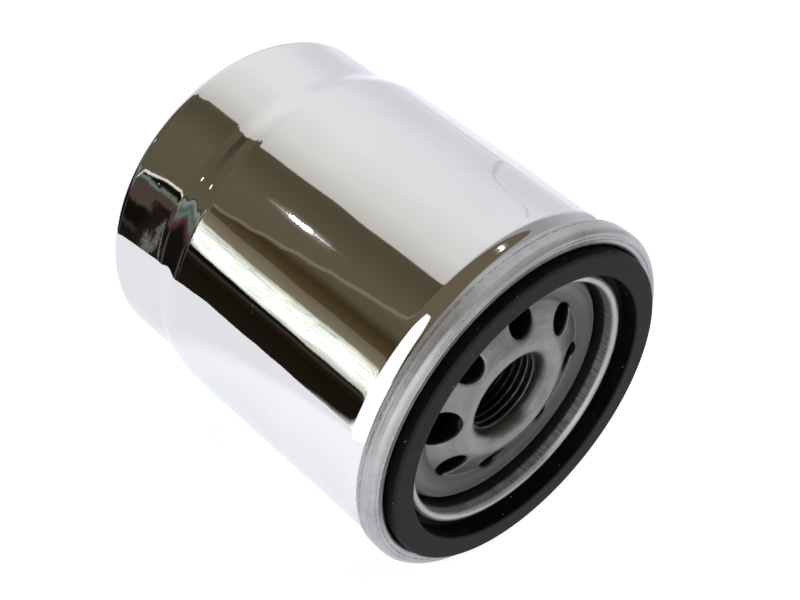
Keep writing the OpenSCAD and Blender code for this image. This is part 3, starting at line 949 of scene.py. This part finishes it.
DARK = [
    (177, (0.004, 0.004, 0.003)),
    (178.8, (0.055, 0.043, 0.034)),
    (180, (0.018, 0.013, 0.008)),
    (184, (0.010, 0.007, 0.004)),
    (200, (0.016, 0.012, 0.007)),
]
# Things that stand in the dark beside the window.
SHELF = [
    (150, (0.006, 0.005, 0.004)),
    (158.5, (0.007, 0.006, 0.005)),
    (160, (0.26, 0.32, 0.27)),
    (162, (0.085, 0.062, 0.05)),
    (177, (0.095, 0.066, 0.055)),
    (180, (0.008, 0.006, 0.005)),
    (192, (0.006, 0.005, 0.004)),
    (196, (0.045, 0.038, 0.03)),
    (199, (0.012, 0.009, 0.007)),
    (206, (0.016, 0.012, 0.009)),
]
# What lies straight past the dome's end.
BEYOND = [
    (132, (0.13, 0.11, 0.07)),
    (155.5, (0.14, 0.12, 0.08)),
    (156.8, (0.02, 0.02, 0.018)),
    (159, (0.30, 0.34, 0.30)),
    (166, (0.10, 0.13, 0.12)),
    (172, (0.17, 0.21, 0.19)),
    (177, (0.12, 0.055, 0.05)),
    (183, (0.05, 0.024, 0.024)),
    (187, (0.010, 0.008, 0.007)),
    (226, (0.007, 0.006, 0.005)),
]
# How far along the axis the fold in the cloth lies.
FOLD = [
    (-30, 0.514),
    (-12, 0.519),
    (0, 0.5205),
    (8, 0.5195),
    (12, 0.517),
    (15, 0.5135),
    (17, 0.508),
    (19, 0.5005),
    (22.5, 0.496),
    (28, 0.492),
    (40, 0.489),
]
HEM_TURN = -15.8
LAMP_TURN, LAMP_ALONG = 120.2, 0.581
# The lamps' spots: turn, along, half the width in turn and in along, softness, brightness.
SPOTS = [
    (LAMP_TURN, LAMP_ALONG, 1.6, 0.0048, 0.35, 5.0),
    (LAMP_TURN, LAMP_ALONG, 4.0, 0.022, 1.0, 0.22),
    (61.0, -0.165, 2.4, 0.028, 0.6, 4.0),
    (61.0, -0.165, 6.0, 0.07, 1.0, 0.4),
    (142.2, 0.894, 3.0, 0.016, 0.6, 3.0),
]


def scale_ramp(tree, value, low, high, stops):
    """A colour ramp over the range from low to high only."""
    place = add(tree, "ShaderNodeMapRange", {0: value, 1: low, 2: high}).outputs[0]
    return ramp(tree, place, [((at - low) / (high - low), color) for at, color in stops])


def white_cloth(tree, turn, along, straight, wobble):
    """White cloth, from the right up over the top, with a fold and a hem, and darker at its near end."""
    cloth = scale_ramp(tree, straight, -60, 110, CLOTH)
    fold = scale_ramp(tree, calc(tree, "MULTIPLY_ADD", wobble, 0.4, turn), -30, 40, FOLD)
    fold_gap = calc(tree, "ABSOLUTE", calc(tree, "SUBTRACT", along, fold))
    fold_ends = times(tree, past(tree, turn, -15.0, 3.0), before(tree, turn, 29.0, 6.0))
    fold_line = times(tree, before(tree, fold_gap, 0.0006, 0.0007), fold_ends)
    hem_gap = calc(tree, "ABSOLUTE", calc(tree, "SUBTRACT", turn, HEM_TURN))
    hem_line = times(tree, before(tree, hem_gap, 0.5, 0.9), before(tree, along, 0.60, 0.08))
    creases = calc(tree, "MAXIMUM", fold_line, hem_line)
    cloth = lay(tree, cloth, [(creases, 0.42, (0.2, 0.2, 0.21))])
    near = scale_ramp(tree, turn, -60, 60, [(0, (0.62, 0.62, 0.66)), (32, (0.40, 0.40, 0.41))])
    return blend_color(tree, before(tree, along, 0.32, 0.34), cloth, near)


def window_side(tree, way, turn, along, wobble, sway):
    """A shelf edge that slopes away, a tan board and a bright grainy window below it, and where they are."""
    low_part, high_part = line(tree, along, 215.0, 0.528, 124.3), line(tree, along, 140.0, 0.51, 124.0)
    edge = calc(tree, "MAXIMUM", low_part, high_part)
    edge = calc(tree, "ADD", edge, calc(tree, "MULTIPLY", spread(tree, along, 0.616, 0.626), 6.0))
    where = past(tree, calc(tree, "MULTIPLY_ADD", wobble, 0.8, turn), edge, 0.8)
    edge_line = times(tree, where, before(tree, turn, calc(tree, "ADD", edge, 2.2), 1.8))
    moved = calc(tree, "ADD", turn, calc(tree, "MULTIPLY", spread(tree, along, 0.60, 0.64), 2.5))
    board = lay(tree, scale_ramp(tree, moved, 115, 160, BOARD), [(edge_line, 0.8, (0.27, 0.24, 0.18))])
    uneven = calc(tree, "ADD", calc(tree, "MULTIPLY_ADD", wobble, 0.5, moved), sway)
    pane = scale_ramp(tree, uneven, 150, 182, PANE)
    dim_pane = blend_color(tree, 1.0, pane, (0.42, 0.52, 0.44), "MULTIPLY")
    glitter = spread(tree, noise(tree, way, 60, 5, 0.8), 0.34, 0.58)
    in_pane = past(tree, calc(tree, "MULTIPLY_ADD", wobble, 0.3, moved), 158.2, 1.0)
    return where, blend_color(tree, in_pane, board, blend_color(tree, glitter, dim_pane, pane))


def shelf_side(tree, turn, along):
    """Things standing in the dark at the far left, behind a bright frame, and where they are. The grip band
    shows them."""
    streaks = vector(tree, calc(tree, "MULTIPLY", turn, 0.07), calc(tree, "MULTIPLY", along, 170.0))
    uneven = calc(tree, "SUBTRACT", noise(tree, streaks, 1.0, 5, 0.75), 0.5)
    uneven = calc(tree, "MULTIPLY_ADD", uneven, 16.0, turn)
    gloom = times(tree, past(tree, uneven, 166.0, 2.0), before(tree, along, 0.6395, 0.003))
    things = blend_color(tree, gloom, scale_ramp(tree, uneven, 150, 206, SHELF), (0.016, 0.011, 0.008))
    sloped = calc(tree, "ADD", line(tree, along, -220.0, 0.639, 0.0), turn)
    things = blend_color(tree, before(tree, sloped, 153.2, 0.8), things, (1.0, 0.97, 0.86))
    return times(tree, past(tree, along, 0.6315, 0.004), past(tree, sloped, 151.4, 0.7)), things


def past_dome(tree, turn, along, sway):
    """What the shoulder catches from straight past the dome: a pane, a red edge and then darkness."""
    shift = calc(tree, "MAXIMUM", calc(tree, "SUBTRACT", along, 0.77), 0.0)
    moved = calc(tree, "ADD", turn, calc(tree, "MULTIPLY", shift, -75.0))
    moved = calc(tree, "ADD", moved, calc(tree, "MULTIPLY", sway, 0.2))
    pale_edge = times(tree, past(tree, turn, 184.0, 4.0), before(tree, along, 0.76, 0.02))
    beyond = blend_color(tree, pale_edge, scale_ramp(tree, moved, 130, 230, BEYOND), (0.075, 0.072, 0.062))
    shadow = times(tree, spread(tree, along, 0.915, 0.938), before(tree, turn, 112.0, 66.0))
    return blend_color(tree, shadow, beyond, (0.06, 0.052, 0.034))


def front_cloth(tree, turn, along, grain):
    """White cloth in front of the part, to the left, and where it is."""
    steep_part, flat_part = line(tree, turn, 0.019, 118.0, -0.25), line(tree, turn, 0.0075, 127.0, -0.08)
    edge = calc(tree, "MINIMUM", steep_part, flat_part)
    where = times(
        tree, past(tree, turn, 116.5, 1.2), before(tree, calc(tree, "SUBTRACT", along, edge), 0.04, 0.08)
    )
    return where, blend_color(tree, spread(tree, grain, 0.3, 0.7), (1.4, 1.4, 1.36), (2.2, 2.2, 2.16))


def spot(tree, turn, along, turn_at, along_at, turn_half, along_half, soft):
    """A soft spot around a place, as wide as its two halves say."""
    gaps = [
        calc(tree, "DIVIDE", calc(tree, "SUBTRACT", value, at), half)
        for value, at, half in [(turn, turn_at, turn_half), (along, along_at, along_half)]
    ]
    gap = add(tree, "ShaderNodeVectorMath", {0: vector(tree, *gaps)}, operation="LENGTH").outputs["Value"]
    return calc(tree, "SUBTRACT", 1.0, spread(tree, gap, 1 - soft, 1.0))


def lamp_light(tree, turn, along, grain):
    """The lamps' spots, and faint streaks to either side of the first one, as one grey."""
    streak = spot(tree, turn, along, LAMP_TURN, LAMP_ALONG, 0.55, 0.024, 0.9)
    level = times(tree, streak, spread(tree, grain, 0.40, 0.62), 1.6)
    for *place, brightness in SPOTS:
        level = calc(tree, "MULTIPLY_ADD", spot(tree, turn, along, *place), brightness, level)
    return vector(tree, level, level, level)


def studio():
    """The room that the chrome reflects, laid out by the angle about the part's axis (turn, in degrees from
    +X over the top) and by how far along the axis a direction points (along, 0 to 1 towards the dome)."""
    world = bpy.data.worlds.new("studio")
    bpy.context.scene.world = world
    world.use_nodes = True
    tree = world.node_tree
    tree.nodes.clear()
    way = add(tree, "ShaderNodeTexCoord").outputs["Generated"]
    _, along, angle = polar(tree, way)
    turn = calc(tree, "WRAP", calc(tree, "MULTIPLY", angle, 180 / math.pi), 260.0, -100.0)
    grain = noise(tree, way, 150, 4, 0.75)
    wobble = calc(tree, "MULTIPLY", calc(tree, "SUBTRACT", grain, 0.5), 3.0)
    sway = calc(tree, "MULTIPLY", calc(tree, "SUBTRACT", noise(tree, way, 14, 2), 0.5), 3.5)
    # Near the dome's direction the room's edges curve, so that the shoulder carries them without a break.
    bend = calc(tree, "MAXIMUM", line(tree, along, 1 / 0.305, 0.64, 0.0), 0.0)
    straight = calc(tree, "MULTIPLY_ADD", calc(tree, "POWER", bend, 2.6), 19.0, turn)
    # The cloth's edge dips where the grip band shows it, and comes back towards the dome's corner.
    dip = calc(tree, "SUBTRACT", spread(tree, along, 0.626, 0.638), spread(tree, along, 0.70, 0.90))
    back = calc(tree, "SUBTRACT", spread(tree, along, 0.648, 0.661), spread(tree, along, 0.661, 0.70))
    straight = calc(tree, "MULTIPLY_ADD", dip, 4.2, calc(tree, "MULTIPLY_ADD", back, -1.6, straight))

    cloth = white_cloth(tree, turn, along, straight, wobble)
    to_olive = past(tree, calc(tree, "MULTIPLY_ADD", wobble, 0.25, straight), 97.6, 1.4)
    room = blend_color(tree, to_olive, cloth, scale_ramp(tree, straight, 90, 160, OLIVE))
    for where, tone in (window_side(tree, way, turn, along, wobble, sway), shelf_side(tree, turn, along)):
        room = blend_color(tree, where, room, tone)

    # The dark gap below the window.
    below = past(tree, turn, line(tree, along, -22.0, 0.51, 176.6), 1.2)
    below = times(tree, below, before(tree, along, 0.630, 0.004))
    room = blend_color(tree, below, room, scale_ramp(tree, turn, 170, 210, DARK))

    beyond = blend_color(tree, to_olive, cloth, past_dome(tree, turn, along, sway))
    room = blend_color(tree, past(tree, along, 0.70, 0.03), room, beyond)
    where, tone = front_cloth(tree, turn, along, grain)
    room = blend_color(tree, where, room, tone)
    lit = blend_color(tree, 1.0, room, lamp_light(tree, turn, along, grain), "ADD")

    # The camera itself sees plain white around the part.
    is_camera = add(tree, "ShaderNodeLightPath").outputs["Is Camera Ray"]
    seen = add(tree, "ShaderNodeBackground", {"Color": (1, 1, 1, 1), "Strength": 1.05}).outputs[0]
    around = add(tree, "ShaderNodeBackground", {"Color": lit, "Strength": 1.0}).outputs[0]
    mixed = add(tree, "ShaderNodeMixShader", {0: is_camera, 1: around, 2: seen}).outputs[0]
    add(tree, "ShaderNodeOutputWorld", {"Surface": mixed})


def soft_sun(name, direction, strength, width):
    """Broad light for the matt surfaces and the floor. The chrome doesn't mirror it."""
    light = bpy.data.lights.new(name, "SUN")
    light.energy = strength
    light.angle = math.radians(width)
    obj = bpy.data.objects.new(name, light)
    obj.rotation_euler = Vector(direction).to_track_quat("Z", "Y").to_euler()
    obj.visible_glossy = False
    bpy.context.scene.collection.objects.link(obj)


CAMERA_AZIMUTH = math.radians(-42.28)
CAMERA_ELEVATION = math.radians(45.45)
CAMERA_SPOT = (-0.15504, -0.14066, 0.23653)
CAMERA_LENS = 73.1


def camera():
    """The camera, turned to its azimuth (0 looks along +Y) and elevation in the part's frame."""
    data = bpy.data.cameras.new("camera")
    data.lens = CAMERA_LENS
    data.sensor_width = 36.0
    data.clip_start = 0.01
    obj = bpy.data.objects.new("camera", data)
    back = Vector((
        math.sin(CAMERA_AZIMUTH) * math.cos(CAMERA_ELEVATION),
        -math.cos(CAMERA_AZIMUTH) * math.cos(CAMERA_ELEVATION),
        math.sin(CAMERA_ELEVATION),
    ))
    obj.rotation_euler = back.to_track_quat("Z", "Y").to_euler()
    obj.location = CAMERA_SPOT
    bpy.context.scene.collection.objects.link(obj)
    bpy.context.scene.camera = obj


floors()
studio()
soft_sun("key_light", (0.45, -0.15, 1.0), 2.6, 70)
soft_sun("fill_light", (-0.3, -0.9, 0.8), 0.5, 120)
camera()
bpy.context.scene.view_settings.view_transform = "Standard"
